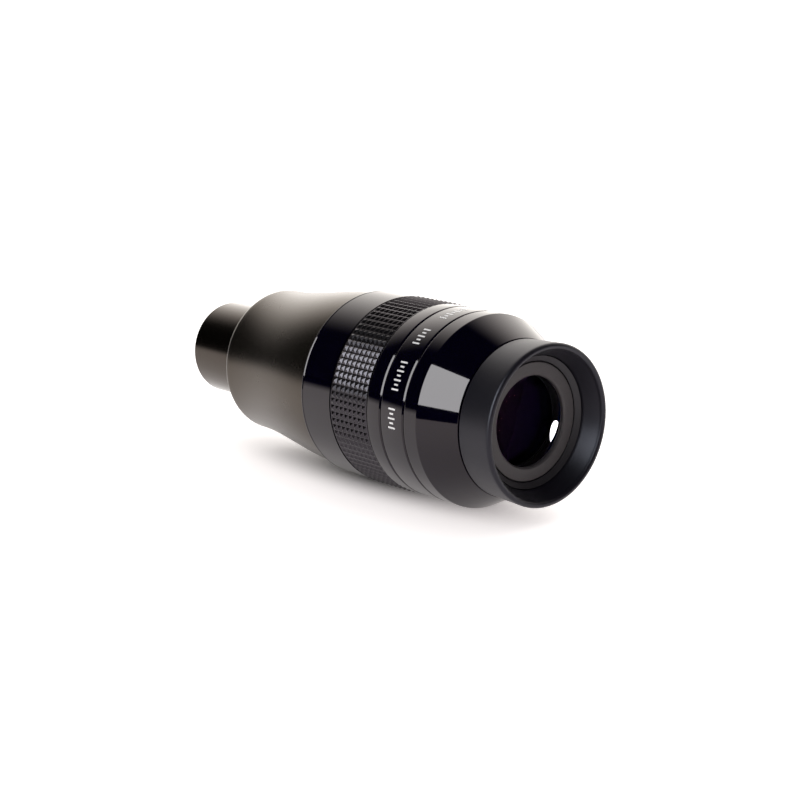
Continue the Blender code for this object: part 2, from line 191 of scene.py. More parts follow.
# %% Anodised finishes
BLAST_GRAIN = 0.3 * MM
BLAST_HEIGHT = 0.004 * MM
SATIN_CLOUD = 8 * MM
LATHE_PITCH = 0.5 * MM
LATHE_HEIGHT = 0.002 * MM
POLISH_CLOUD = 6 * MM


def lathe_marks(material, place, pitch):
    """Rings across the optical axis, pitch metres apart, uneven as a real cut is."""
    return add_node(material, "ShaderNodeTexWave",
                    {"wave_type": "BANDS", "bands_direction": "X", "wave_profile": "SIN"},
                    {"Vector": place, "Scale": math.pi / 10 / pitch, "Distortion": 1.5,
                     "Detail": 2.0, "Detail Scale": 0.2}).outputs["Fac"]


def tinted(material, shader, pattern, tint, spread):
    """Lightens and darkens a tint by a share of itself, following a pattern."""
    base = linear(tint)
    colour = add_node(material, "ShaderNodeMix", {"data_type": "RGBA"}, {
        "Factor": pattern,
        6: [c * (1 - spread) for c in base[:3]] + [1.0],
        7: [c * (1 + spread) for c in base[:3]] + [1.0]})
    material.node_tree.links.new(colour.outputs[2], shader.inputs["Base Color"])


def satin_black_anodise(name, tint, roughness):
    """Blasted and dyed: warm grey reflections with soft edges."""
    material, shader = new_material(name, Metallic=1.0)
    place = object_place(material)
    grain = noise(material, place, BLAST_GRAIN, detail=3.0)
    cloud = noise(material, place, SATIN_CLOUD)
    tinted(material, shader, cloud, tint, 0.03)
    uneven_gloss(material, shader, cloud, roughness * 0.96, roughness * 1.04)
    roughen(material, shader, grain, BLAST_HEIGHT, 0.35)
    return material


def polished_black_anodise(name, dye="#02010d", roughness=0.07):
    """A clear, hard oxide layer over black dye, with the faintest lathe marks in it."""
    material, shader = new_material(name, Metallic=0.0, IOR=1.43,
                                    Specular_Tint=(1.0, 0.9, 0.92, 1.0))
    place = object_place(material)
    rings = lathe_marks(material, place, LATHE_PITCH)
    cloud = noise(material, place, POLISH_CLOUD)
    tinted(material, shader, cloud, dye, 0.3)
    uneven_gloss(material, shader, cloud, roughness * 0.7, roughness * 1.3)
    roughen(material, shader, rings, LATHE_HEIGHT, 0.12)
    return material


satin_nose = satin_black_anodise("satin_black_anodised_nose", "#443e39", 0.19)
satin_housing = satin_black_anodise("satin_black_anodised_housing", "#4a443e", 0.27)
satin_knurl = satin_black_anodise("satin_black_anodised_knurl", "#3c393d", 0.27)
polished_rings = polished_black_anodise("polished_black_anodised_rings")
polished_cone = polished_black_anodise("polished_black_anodised_cone", roughness=0.05)
print("anodised finishes:", satin_nose.name, polished_rings.name)

# %% [markdown]
# ## Matt black, charcoal, rubber and paint
# The inside of an eyepiece must swallow stray light, so its barrels are dyed dull black and cut
# with fine threads called baffles. The bezel that holds the eye lens is blasted charcoal. The
# eyecup is moulded from soft silicone rubber: dark, with a fine eggshell skin and faint clouds
# of dust. The index marks are filled with white epoxy paint.

# %% Dull finishes
BAFFLE_PITCH = 0.6 * MM
BAFFLE_HEIGHT = 0.15 * MM
GRIT_SIZE = 0.2 * MM
GRIT_HEIGHT = 0.012 * MM
SKIN_GRAIN = 0.22 * MM
SKIN_HEIGHT = 0.02 * MM
DUST_CLOUD = 5 * MM


def matt_black_baffling(name):
    """Dull dyed aluminium that swallows light, ringed by fine baffle threads."""
    material, shader = new_material(name, Roughness=0.75, Specular_IOR_Level=0.25)
    place = object_place(material)
    tinted(material, shader, noise(material, place, 2 * MM), "#0b0b0c", 0.3)
    roughen(material, shader, lathe_marks(material, place, BAFFLE_PITCH), BAFFLE_HEIGHT, 0.6)
    return material


def charcoal_bezel_blast(name, tint):
    """Blasted and dyed charcoal, with a fine sparkle of grit marks."""
    material, shader = new_material(name, Metallic=0.35)
    place = object_place(material)
    grit = noise(material, place, GRIT_SIZE, detail=4.0)
    tinted(material, shader, grit, tint, 0.18)
    uneven_gloss(material, shader, grit, 0.45, 0.65)
    roughen(material, shader, grit, GRIT_HEIGHT, 0.5)
    return material


def moulded_silicone_rubber(name):
    """Dark rubber with a soft sheen, an eggshell skin and faint clouds of dust."""
    material, shader = new_material(name, IOR=1.45, Specular_Tint=(0.72, 0.7, 0.82, 1.0))
    place = object_place(material)
    skin = noise(material, place, SKIN_GRAIN, detail=4.0)
    dust = noise(material, place, DUST_CLOUD, detail=4.0)
    tinted(material, shader, dust, "#0d0b12", 0.25)
    uneven_gloss(material, shader, skin, 0.34, 0.48)
    roughen(material, shader, skin, SKIN_HEIGHT, 0.5)
    return material


def white_epoxy_paint(name):
    """Paint pressed into engraved marks: flat white, slightly uneven."""
    material, shader = new_material(name, Roughness=0.5)
    tinted(material, shader, noise(material, object_place(material), 0.5 * MM), "#f0f0f2", 0.04)
    return material


matt_black = matt_black_baffling("matt_black_baffled_aluminium")
charcoal_bezel = charcoal_bezel_blast("charcoal_blasted_bezel", "#3f3b3d")
charcoal_neck = charcoal_bezel_blast("charcoal_blasted_neck", "#242126")
rubber = moulded_silicone_rubber("moulded_silicone_rubber")
mark_paint = white_epoxy_paint("white_epoxy_paint")
print("dull finishes:", matt_black.name, charcoal_bezel.name, rubber.name)

# %% [markdown]
# ## Coated optical glass
# A modern lens carries a stack of clear films that cancel most of its reflection. What is left
# is a dim violet or green, set by a thin film on its own socket. The eye lens is clear glass.
# Its own reflection, already the weakest, is tinted away, because so faint a gleam would reach
# the eye as scattered bright dots. The violet sheen comes from the lens behind it. The lenses
# behind are opaque, polished and coated, and give the deep reflections. Their near-black colour
# is painted shade: it stands for the dark inside of the eyepiece that clear lenses would show.

# %% Glass
def coated_glass(name, film_nanometres, clearness, glass_tint_and_painted_shade, left_over):
    """Polished glass under an antireflection film; left_over tints what it still reflects."""
    material, shader = new_material(name, IOR=1.52, Roughness=0.0, Transmission_Weight=clearness,
                                    Specular_Tint=linear(left_over), Thin_Film_IOR=1.23,
                                    Thin_Film_Thickness=film_nanometres)
    place = object_place(material)
    # On clear glass this colour is the glass's own tint; on opaque glass it is painted shade for
    # the dark inside of the eyepiece.
    tinted(material, shader, noise(material, place, 12 * MM), glass_tint_and_painted_shade, 0.08)
    return material


eye_glass = coated_glass("magenta_coated_eye_glass", 134, 1.0, "#f0e6f4", "#000000")
# The inner and field lenses are opaque, and their near-black colours are painted shade.
inner_glass = coated_glass("violet_coated_inner_glass", 140, 0.0, "#020105", "#b0b4ac")
field_glass = coated_glass("green_coated_field_glass", 200, 0.0, "#050807", "#c0d0c4")
print("glass:", eye_glass.name, inner_glass.name, field_glass.name)

# %% [markdown]
# ## The turning helper
# Nearly every piece here was made on a lathe, so nearly every mesh is made the same way: an
# outline of points is spun around the optical axis. Two touches make it look machined. Points
# held close to each corner keep the long faces flat when they are shaded smooth, and a bevel of
# a tenth of a millimetre rounds each sharp edge, so that it catches a thin line of light.

# %% Turn an outline into a piece
STEPS = 144
EDGE_ROUND = 0.12 * MM


def arc(x, r, radius, start, end, steps=6):
    """Points on a round corner centred at (x, r); angles in degrees, 0 along +X, 90 outwards."""
    angles = [math.radians(start + (end - start) * i / steps) for i in range(steps + 1)]
    return [(x + radius * math.cos(a), r + radius * math.sin(a)) for a in angles]


def line(start, end, steps):
    """Evenly spaced points from start up to, but not including, end."""
    return [(start[0] + (end[0] - start[0]) * i / steps, start[1] + (end[1] - start[1]) * i / steps)
            for i in range(steps)]


def held(outline, margin, closed):
    """Adds a point close to both ends of each long stretch, to keep it flat when smooth."""
    points = []
    ends = outline[1:] + outline[:1] if closed else outline[1:]
    for (x0, r0), (x1, r1) in zip(outline, ends):
        length = math.hypot(x1 - x0, r1 - r0)
        points.append((x0, r0))
        if length > 5 * margin:
            share = margin / length
            points.append((x0 + (x1 - x0) * share, r0 + (r1 - r0) * share))
            points.append((x1 - (x1 - x0) * share, r1 - (r1 - r0) * share))
    return points if closed else points + outline[-1:]


def spun(outline, closed=True, steps=STEPS):
    """A bmesh of the outline spun once around the optical axis, which it keeps at height 0."""
    bm = bmesh.new()
    points = [bm.verts.new((x, 0.0, r)) for x, r in outline]
    edges = [bm.edges.new(pair) for pair in zip(points, points[1:])]
    if closed:
        edges.append(bm.edges.new((points[-1], points[0])))
    bmesh.ops.spin(bm, geom=points + edges, cent=(0, 0, 0), axis=(1, 0, 0), dvec=(0, 0, 0),
                   angle=math.tau, steps=steps, use_merge=True, use_duplicate=False)
    bmesh.ops.remove_doubles(bm, verts=bm.verts, dist=0.0005 * MM)
    bmesh.ops.recalc_face_normals(bm, faces=bm.faces)
    return bm


def round_edges(bm, width, sharper_than=35):
    """Bevels the edges that turn by more than an angle in degrees."""
    sharp = [edge for edge in bm.edges
             if len(edge.link_faces) == 2 and edge.calc_face_angle() > math.radians(sharper_than)]
    bmesh.ops.bevel(bm, geom=sharp, offset=width, offset_type="OFFSET", affect="EDGES",
                    segments=2, profile=0.5, clamp_overlap=True, material=-1)


def finished(name, bm, material, nodes=(), body="barrel", crisp=40):
    """Places the bmesh on the axis, names it and gives it to its CAD body; edges that turn
    by more than crisp degrees are shaded sharp."""
    bmesh.ops.translate(bm, verts=bm.verts, vec=(0, 0, AXIS_HEIGHT))
    mesh = bpy.data.meshes.new(name)
    bm.to_mesh(mesh)
    bm.free()
    mesh.shade_smooth()
    mesh.set_sharp_from_angle(angle=math.radians(crisp))
    mesh.materials.append(material)
    piece = bpy.data.objects.new(name, mesh)
    bpy.context.scene.collection.objects.link(piece)
    if body:
        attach(piece, body)
    if nodes:
        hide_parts(*nodes)
    print(f"{name}: {len(mesh.polygons)} faces")
    return piece


def turned(name, outline, material, nodes=(), soften=EDGE_ROUND, closed=True, crisp=40):
    """The usual path: hold the outline's corners, spin it, round its edges and finish it."""
    bm = spun(held(outline, 2 * EDGE_ROUND, closed) if soften else outline, closed)
    if soften:
        round_edges(bm, soften)
    return finished(name, bm, material, nodes, crisp=crisp)


# %% [markdown]
# ## Nose barrel
# The nose is the standard push fit of a small telescope. Its mouth carries the fine inner
# thread that filters screw into. A thread that fine reads as rings, so the outline goes in and
# out once for each turn, and the spin does the rest. Behind the thread a lip holds the cell.

# %% Nose barrel
FILTER_PITCH = 0.6 * MM
FILTER_DEPTH = 7.5 * MM
FILTER_WALL = 1.625 * MM
THREAD_HEIGHT = 0.35 * MM
MOUTH_CHAMFER = 0.5 * MM
LIP_RADIUS = 12.4 * MM
LIP_LENGTH = 1.5 * MM
NOSE_WALL = 2.2 * MM
TAIL_STEP = 0.4 * MM
SOCKET_DEPTH = 0.7 * MM
FINE_EDGE = 0.1 * MM

filter_radius = nose_radius - FILTER_WALL
nose_bore = nose_radius - NOSE_WALL
tail_radius = nose_radius - TAIL_STEP
turns = int(FILTER_DEPTH / FILTER_PITCH) - 1
thread = []
for turn in range(turns):
    x = nose_x0 + FILTER_DEPTH - (turn + 0.5) * FILTER_PITCH
    thread.append((x, filter_radius + THREAD_HEIGHT))
    thread.append((x - FILTER_PITCH / 2, filter_radius))
nose_socket = housing_x0 + SOCKET_DEPTH
lip_end = nose_x0 + FILTER_DEPTH + LIP_LENGTH
turned("nose_barrel_shell", [
    (nose_x0, nose_radius - MOUTH_CHAMFER), (nose_x0 + MOUTH_CHAMFER, nose_radius),
    (nose_socket, nose_radius), (nose_socket, tail_radius),
    (nose_x1, tail_radius), (nose_x1, nose_bore), (lip_end, nose_bore),
    (lip_end, LIP_RADIUS), (nose_x0 + FILTER_DEPTH, LIP_RADIUS),
    (nose_x0 + FILTER_DEPTH, filter_radius), *thread, (nose_x0, filter_radius + THREAD_HEIGHT),
], satin_nose, ["nose_barrel"], soften=FINE_EDGE)

# %% [markdown]
# ## Field-end lens and its cell
# Looking into the nose, one sees a small lens that is hollow on its front, because the first
# group of a wide-field eyepiece spreads the light before the others gather it. A lens is a
# turned piece too: its outline starts and ends on the axis, and its faces are shallow arcs.

# %% Field lens and cell
def lens_outline(x0, x1, radius, bulge0, bulge1, rings=14):
    """Outline of a lens from x0 to x1 at its edge, with a bulge on each side."""
    shares = [i / rings for i in range(rings + 1)]
    field_side = [(x0 - bulge0 * (1 - k * k), radius * k) for k in shares]
    eye_side = [(x1 + bulge1 * (1 - k * k), radius * k) for k in reversed(shares)]
    return field_side + eye_side


FIELD_HOLLOW = 1.4 * MM
FIELD_BOND = 1.2 * MM
CELL_SEAT = 1.0 * MM
FIELD_CELL_WALL = 1.1 * MM
SEAT_LAP = 1.4 * MM
MOUTH_LAP = 1.2 * MM

field_cell_x0, field_cell_x1, field_cell_radius = span("field_cell")
lens_x0, lens_x1, field_lens_radius = span("field_lens_outer")
turned("field_lens_glass", lens_outline(lens_x0, lens_x1, field_lens_radius,
                                        -FIELD_HOLLOW, -FIELD_BOND),
       field_glass, ["field_lens_outer"], soften=0, closed=False)
field_bore = field_cell_radius - FIELD_CELL_WALL
turned("field_cell_tube", [
    (field_cell_x0, field_cell_radius), (field_cell_x1, field_cell_radius),
    (field_cell_x1, field_bore), (field_cell_x0 + CELL_SEAT, field_bore),
    (field_cell_x0 + CELL_SEAT, field_bore - SEAT_LAP), (field_cell_x0, field_bore - MOUTH_LAP),
], matt_black, ["field_cell"])

# %% [markdown]
# ## Tapered housing
# The long housing swells from the nose to the body in one slow S curve, as if it had been drawn
# with a flexible ruler. A half cosine wave is exactly that curve: it leaves both ends level. The
# end by the nose has a generous rounded edge, made with an arc in the outline.

# %% Tapered housing
HOUSING_END_RADIUS = 24.2 * MM
END_ROUND = 2.0 * MM
TAPER_STEPS = 40
HOUSING_FLOOR = 6.8 * MM
SPIGOT_RADIUS = body_radius - 3.3 * MM
SPIGOT_WALL = 2.5 * MM
SPIGOT_ROOT = 4.0 * MM
JOINT_GAP = 0.3 * MM
HOUSING_WALL = 3.2 * MM
SOCKET_PLAY = 0.15 * MM

taper_x0 = housing_x0 + END_ROUND
taper_x1 = shoulder_x0 - JOINT_GAP
taper = []
for step in range(1, TAPER_STEPS + 1):
    share = step / TAPER_STEPS
    swell = (1 - math.cos(math.pi * share)) / 2
    taper.append((taper_x0 + share * (taper_x1 - taper_x0),
                  HOUSING_END_RADIUS + swell * (housing_radius - HOUSING_END_RADIUS)))
housing_bore = HOUSING_END_RADIUS - HOUSING_WALL
socket_radius = nose_radius + SOCKET_PLAY
spigot_bore = SPIGOT_RADIUS - SPIGOT_WALL
turned("tapered_housing_shell", [
    (housing_x0, socket_radius),
    *arc(taper_x0, HOUSING_END_RADIUS - END_ROUND, END_ROUND, 180, 90, 8),
    *taper,
    (taper_x1, SPIGOT_RADIUS), (housing_x1, SPIGOT_RADIUS),
    (housing_x1, spigot_bore), (taper_x1 - SPIGOT_ROOT, spigot_bore),
    (taper_x1 - SPIGOT_ROOT, housing_bore), (housing_x0 + HOUSING_FLOOR, housing_bore),
    (housing_x0 + HOUSING_FLOOR, socket_radius),
], satin_housing, ["tapered_housing"])

# %% [markdown]
# ## Polished rings
# Three plain rings frame the grip. Each has a rounded field end, and a shallow slope at its eye
# end or in a groove, so the joint between two rings is a fine V: one side of it glints and the
# bottom stays black. That pair of lines does more for a lathe-turned body than any texture.

# %% Shoulder, collar and label rings
RING_BORE = body_radius - 3.0 * MM
GROOVE = 0.4 * MM
GROOVE_STEP = 0.1 * MM
SLOPE_LENGTH = 0.55 * MM
SLOPE_DROP = 0.26 * MM
GLINT_CREASE = 18


def ring_outline(x0, x1, groove=False, slope=False):
    """A body ring with a rounded field end; groove and slope are shallow cuts that glint."""
    start = arc(x0 + GROOVE, body_radius - GROOVE, GROOVE, 180, 90, 6)
    cut = [(x0 + GROOVE + GROOVE_STEP, body_radius),
           (x0 + GROOVE + SLOPE_LENGTH, body_radius - SLOPE_DROP * 0.8),
           (x0 + GROOVE + SLOPE_LENGTH + GROOVE_STEP, body_radius)] if groove else []
    end = [(x1 - SLOPE_LENGTH, body_radius), (x1, body_radius - SLOPE_DROP)] if slope \
        else [(x1, body_radius)]
    return start + cut + end + [(x1, RING_BORE), (x0, RING_BORE)]


for ring, ends, cuts in (("shoulder_ring", (shoulder_x0, shoulder_x1), {"groove": True}),
                         ("collar_ring", (collar_x0, collar_x1), {"slope": True}),
                         ("label_ring", (label_x0, label_x1), {"slope": True})):
    turned(ring + "_shell", ring_outline(*ends, **cuts), polished_rings, [ring],
           soften=0, crisp=GLINT_CREASE)

# %% [markdown]
# ## Knurled grip
# A knurling tool presses rows of small pyramids into the ring. Here the ring is spun with one
# face for each pyramid. Every outer face is inset once, which leaves the floor of the grooves,
# and inset again while it rises, which makes four sloping sides and a small flat top.

# %% Knurled grip ring
PYRAMIDS_AROUND = 88
PYRAMID_ROWS = 8
KNURL_DEPTH = 0.5 * MM
GROOVE_FLOOR = 0.15 * MM
PYRAMID_TOP = 0.2 * MM
GRIP_LIP = 0.25 * MM

root_radius = grip_radius - KNURL_DEPTH
row_pitch = (grip_x1 - grip_x0 - 2 * GRIP_LIP) / PYRAMID_ROWS
rows = [(grip_x0 + GRIP_LIP + i * row_pitch, root_radius) for i in range(PYRAMID_ROWS + 1)]
bm = spun([(grip_x0, root_radius), *rows, (grip_x1, root_radius), (grip_x1, RING_BORE),
           (grip_x0, RING_BORE)], steps=PYRAMIDS_AROUND)
cells = [face for face in bm.faces
         if face.calc_center_median().yz.length > RING_BORE + MM     # on the outside,
         and abs(face.normal.x) < 0.1                                # facing out,
         and face.calc_area() > 0.6 * row_pitch ** 2]                # and not in the end lips
bmesh.ops.inset_individual(bm, faces=cells, thickness=GROOVE_FLOOR, depth=0, use_even_offset=True)
slope = (min(row_pitch, math.tau * root_radius / PYRAMIDS_AROUND) - 2 * GROOVE_FLOOR
         - PYRAMID_TOP) / 2
bmesh.ops.inset_individual(bm, faces=cells, thickness=slope, depth=KNURL_DEPTH,
                           use_even_offset=True)
finished("knurled_grip_shell", bm, satin_knurl, ["grip_ring"], crisp=12)
print(len(cells), "pyramids")

# %% [markdown]
# ## Index marks
# The band in front of the grip carries painted marks. They are plain index bars: a short stretch
# of line is spun through a small angle, so each bar follows the ring's curve, and solidify gives
# the paint its thickness. Four groups of bars stand where an observer would read them.

# %% Index marks on the label ring
MARK_LENGTH = 3.0 * MM
MARK_WIDTH = 0.55 * MM
MARK_SPACING = 1.45 * MM
SHORT_MARK = 0.55 * MARK_LENGTH
PAINT = 0.03 * MM
MARK_GROUPS = ((80, 7), (53, 5), (26, 7), (1, 5))     # degrees up from the side, bars

label_middle = (label_x0 + label_x1) / 2
marks = bmesh.new()
for middle, bars in MARK_GROUPS:
    for bar in range(bars):
        length = MARK_LENGTH if bar % 2 == 0 else SHORT_MARK
        offset = (bar - (bars - 1) / 2) * MARK_SPACING - MARK_WIDTH / 2
        angle = math.radians(90 - middle) + offset / body_radius
        turn = Matrix.Rotation(angle, 3, "X")
        ends = [marks.verts.new(turn @ Vector((label_middle + side * length / 2, 0, body_radius)))
                for side in (-1, 1)]
        edge = marks.edges.new(ends)
        bmesh.ops.spin(marks, geom=ends + [edge], cent=(0, 0, 0), axis=(1, 0, 0),
                       dvec=(0, 0, 0), angle=MARK_WIDTH / body_radius, steps=2)
bmesh.ops.recalc_face_normals(marks, faces=marks.faces)
for face in marks.faces:
    centre = face.calc_center_median()
    if face.normal.dot(Vector((0, centre.y, centre.z))) < 0:
        face.normal_flip()
bmesh.ops.solidify(marks, geom=marks.faces[:], thickness=-PAINT)
finished("label_index_marks", marks, mark_paint)

# %% [markdown]
# ## Cone cap
# The front of the body is one piece: a last band, a crisp edge, a long cone that shows the
# studio light as a clean pane, and a neck that the eyecup grips. The neck's end is bevelled
# inwards to the bezel.

# %% Cone cap
FRONT_BAND = 6.0 * MM
CAP_COUNTERBORE = 2.5 * MM
NECK_WALL = 1.7 * MM
BEAD_PLACE = 1.5 * MM
BEAD_LENGTH = 2.0 * MM
BEAD_DEPTH = 1.1 * MM
CONE_FOOT_GAP = 0.35 * MM
CONE_FOOT_LIP = 0.1 * MM
PLAY = 0.3 * MM
NECK_BORE_LAP = 2.6 * MM
CAP_BORE_LAP = 4.4 * MM
EYE_SEAT_DEPTH = 1.7 * MM
CAP_EDGE = 0.08 * MM

cone_x0 = label_x1 + FRONT_BAND
eye_lens_x0, eye_lens_x1, eye_lens_radius = span("eye_lens")
neck_mouth = bezel_radius + PLAY
neck_radius = neck_mouth + NECK_WALL
neck_bore = eye_lens_radius + NECK_BORE_LAP
cap_bore = eye_lens_radius + CAP_BORE_LAP
eye_seat = cup_x0 - EYE_SEAT_DEPTH
bead_x = cup_x0 + BEAD_PLACE
cone_cap = turned("cone_cap_shell", [
    *arc(cap_x0 + GROOVE, body_radius - GROOVE, GROOVE, 180, 90, 6), (cone_x0, body_radius),
    (cup_x0 - CONE_FOOT_GAP, cup_radius + CONE_FOOT_LIP), (cup_x0 - CONE_FOOT_GAP, neck_radius),
    (bead_x, neck_radius), (bead_x, neck_radius - BEAD_DEPTH),
    (bead_x + BEAD_LENGTH, neck_radius - BEAD_DEPTH), (bead_x + BEAD_LENGTH, neck_radius),
    (cap_x1, neck_radius), (bezel_x1, neck_mouth), (bezel_x0 - PLAY, neck_mouth),
    (bezel_x0 - PLAY, neck_bore), (eye_seat, neck_bore), (eye_seat, cap_bore),
    (cap_x0 + CAP_COUNTERBORE, cap_bore), (cap_x0 + CAP_COUNTERBORE, RING_BORE),
    (cap_x0, RING_BORE),
], polished_cone, ["cone_cap"], soften=CAP_EDGE)
cone_cap.data.materials.append(charcoal_neck)      # the neck is blasted, not polished
for face in cone_cap.data.polygons:
    if face.center.x > cup_x0 - CONE_FOOT_GAP / 2:
        face.material_index = 1

# %% [markdown]
# ## Eye lens, its cell and its bezel
# Behind the bezel is the eye lens, the largest glass that the observer sees. It is real glass
# here, and the black cell and the next lens show through it.

# %% Eye-end optics
LENS_CURVE = 1.4 * MM
EYE_BACK_CURVE = 0.7 * MM
BEZEL_LAP = 0.95 * MM
STOP_LAP = 1.4 * MM
SEAT_RING = 1.0 * MM
EYE_SEAT_STEP = 2.0 * MM
MIDDLE_WALL = 1.8 * MM
TIP_WALL = 2.3 * MM
WIDE_WALL = 3.9 * MM
BEZEL_CHAMFER = 0.2 * MM
BEZEL_MOUTH = 0.5 * MM
BEZEL_EDGE = 0.06 * MM

turned("eye_lens_glass", lens_outline(eye_lens_x0 + EYE_BACK_CURVE, eye_lens_x1 - LENS_CURVE,
                                      eye_lens_radius, EYE_BACK_CURVE, LENS_CURVE),
       eye_glass, ["eye_lens"], soften=0, closed=False)

middle_x0, middle_x1, middle_radius = span("middle_lens")
turned("middle_lens_glass", lens_outline(middle_x0, middle_x1 - LENS_CURVE, middle_radius,
                                         -LENS_CURVE, LENS_CURVE),
       inner_glass, ["middle_lens"], soften=0, closed=False)

cell_x0, cell_x1, cell_radius = span("eye_cell")
wide_seat = label_x1 - PLAY
eye_seat_x = cup_x0 - EYE_SEAT_STEP
middle_bore = middle_radius + PLAY
eye_bore = eye_lens_radius + PLAY
stop_radius = eye_lens_radius - STOP_LAP
tip_radius = eye_lens_radius + TIP_WALL
turned("eye_cell_tube", [
    (cell_x0, cell_radius), (wide_seat + SEAT_RING, cell_radius),
    (wide_seat + SEAT_RING, middle_bore + MIDDLE_WALL), (eye_seat_x, middle_bore + MIDDLE_WALL),
    (eye_seat_x, tip_radius), (cell_x1, tip_radius), (cell_x1, eye_bore),
    (eye_seat_x, eye_bore), (eye_seat_x, stop_radius),
    (eye_seat_x - SEAT_RING, stop_radius), (eye_seat_x - SEAT_RING, middle_bore),
    (wide_seat, middle_bore), (wide_seat, cell_radius - WIDE_WALL),
    (cell_x0, cell_radius - WIDE_WALL),
], matt_black, ["eye_cell"], soften=FINE_EDGE)

opening = eye_lens_radius - BEZEL_LAP
turned("eye_lens_bezel", [
    (bezel_x0, bezel_radius), (bezel_x1 - BEZEL_CHAMFER, bezel_radius),
    (bezel_x1, bezel_radius - BEZEL_CHAMFER), (bezel_x1, opening + BEZEL_MOUTH),
    (bezel_x1 - BEZEL_MOUTH, opening), (bezel_x0, opening),
], charcoal_bezel, ["bezel_ring"], soften=BEZEL_EDGE)

# %% [markdown]
# ## Rubber eyecup
# The cup is one moulding: a heavy base that grips the neck, a wall that opens slightly, and a
# rolled lip. CAD splits it in two, because its skirt rolls down for observers who wear glasses
# while its base stays. Here it is one mesh again, given to neither body, so it never shows a seam.

# %% Rubber eyecup
LIP_WIDTH = 2.0 * MM
FOOT_ROUND = 0.3 * MM
WALL_STEPS = 14

lip = LIP_WIDTH / 2
cup_bore = neck_radius + PLAY
inner_step = fold_x + PLAY
bead_end = bead_x + BEAD_LENGTH - PLAY
outer_wall = line((cup_x0 + FOOT_ROUND, cup_radius), (rim_x - lip, rim_radius), WALL_STEPS)
inner_wall = line((rim_x - lip, rim_radius - LIP_WIDTH), (inner_step, cup_bore), WALL_STEPS)
bm = spun([
    (cup_x0, cup_radius - FOOT_ROUND), *outer_wall,
    *arc(rim_x - lip, rim_radius - lip, lip, 90, -90, 12)[:-1], *inner_wall,
    (inner_step, cup_bore), (bead_end, cup_bore), (bead_end, cup_bore - BEAD_DEPTH),
    (bead_x + PLAY, cup_bore - BEAD_DEPTH), (bead_x + PLAY, cup_bore), (cup_x0, cup_bore),
])
eyecup = finished("rubber_eyecup", bm, rubber, ["eyecup_base", "eyecup_skirt"],
                  body=None)
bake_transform(eyecup)

# %% [markdown]
# ## Pieces carried over from the CAD model
# The spacers, retaining rings and inner lenses can't be seen in a closed eyepiece, so their CAD
# solids stay. Each still gets its proper finish.

# %% Finish the hidden pieces
for name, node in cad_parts.items():
    if node.hide_render:
        continue
    surface = inner_glass if "_lens" in name else matt_black
    node.data.materials.clear()
    node.data.materials.append(surface)
    print("carried over:", name, "in", surface.name)

# %% [markdown]
# ## Bench
# Glossy black shows nothing of itself and everything of the room, so the room is built for its
# reflections. The bench is a broad white sheet, whose edge draws the line where the lower half
# of each barrel turns grey. The bench is no lamp, yet it carries a painted glow, and the glow
# fades out under the body into a painted shade there, short and soft.

# %% Bench
BENCH_RADIUS = 14.0
# Painted glow: the bench, which is no lamp, gives off this much light, except in a painted shade
# under the body.
BENCH_PAINTED_GLOW = 0.64
PAINTED_SHADE_INNER = 3 * MM                 # from the optical axis, sideways
PAINTED_SHADE_OUTER = 26 * MM
PAINTED_SHADE_STRETCH = 0.3                  # the shade is long the way the body lies
bench_paint, bench_shader = new_material("matt_white_bench_painted_glow", Roughness=1.0,
                                         Specular_IOR_Level=0.0)
bench_place = object_place(bench_paint)
tinted(bench_paint, bench_shader, noise(bench_paint, bench_place, 0.4), "#f6f6f6", 0.01)
squeezed = add_node(bench_paint, "ShaderNodeVectorMath", {"operation": "MULTIPLY"},
                    {0: bench_place, 1: (PAINTED_SHADE_STRETCH, 1.0, 0.0)}).outputs["Vector"]
away = add_node(bench_paint, "ShaderNodeVectorMath", {"operation": "LENGTH"},
                {0: squeezed}).outputs["Value"]
painted_bench_glow = add_node(bench_paint, "ShaderNodeMapRange", {"interpolation_type": "SMOOTHSTEP"},
                      {"Value": away, "From Min": PAINTED_SHADE_INNER, "From Max": PAINTED_SHADE_OUTER,
                       "To Max": BENCH_PAINTED_GLOW}).outputs["Result"]
# The painted glow drives the bench's emission; where it fades near the body it leaves a painted
# shade.
bench_paint.node_tree.links.new(painted_bench_glow, bench_shader.inputs["Emission Strength"])
bench_shader.inputs["Emission Color"].default_value = linear("#fff8f7")
bm = bmesh.new()
bmesh.ops.create_circle(bm, cap_ends=True, segments=96, radius=BENCH_RADIUS)
bench_mesh = bpy.data.meshes.new("bench")
bm.to_mesh(bench_mesh)
bm.free()
bench_mesh.materials.append(bench_paint)
bench = bpy.data.objects.new("bench", bench_mesh)
bpy.context.scene.collection.objects.link(bench)
print("bench", BENCH_RADIUS, "m in radius")

# %% [markdown]
# ## Lamps
# One tall softbox stands to the side and draws the pane on the cone. A small bright ellipse
# behind the eye lens stands for the daylight that enters at the field end and crosses the
# optics. A broad overhead light fills the bench and is hidden from reflections.

# %% Lights
def reflected_lamp(name, place, aim, size, radiance):
    """A rectangular lamp facing aim that only shows in reflections, as bright as radiance."""
    lamp = bpy.data.lights.new(name, "AREA")
    lamp.shape = "RECTANGLE"
    lamp.size, lamp.size_y = size
    lamp.energy = radiance * math.pi * size[0] * size[1]
    holder = bpy.data.objects.new(name, lamp)
    holder.location = place
    holder.rotation_euler = (Vector(aim) - Vector(place)).to_track_quat("-Z", "Y").to_euler()
    holder.visible_camera = False
    holder.visible_diffuse = False
    bpy.context.scene.collection.objects.link(holder)
    return holder


def direction(azimuth, elevation):
    """A unit vector; azimuth in degrees from +X towards +Y."""
    a, e = math.radians(azimuth), math.radians(elevation)
    return Vector((math.cos(a) * math.cos(e), math.sin(a) * math.cos(e), math.sin(e)))


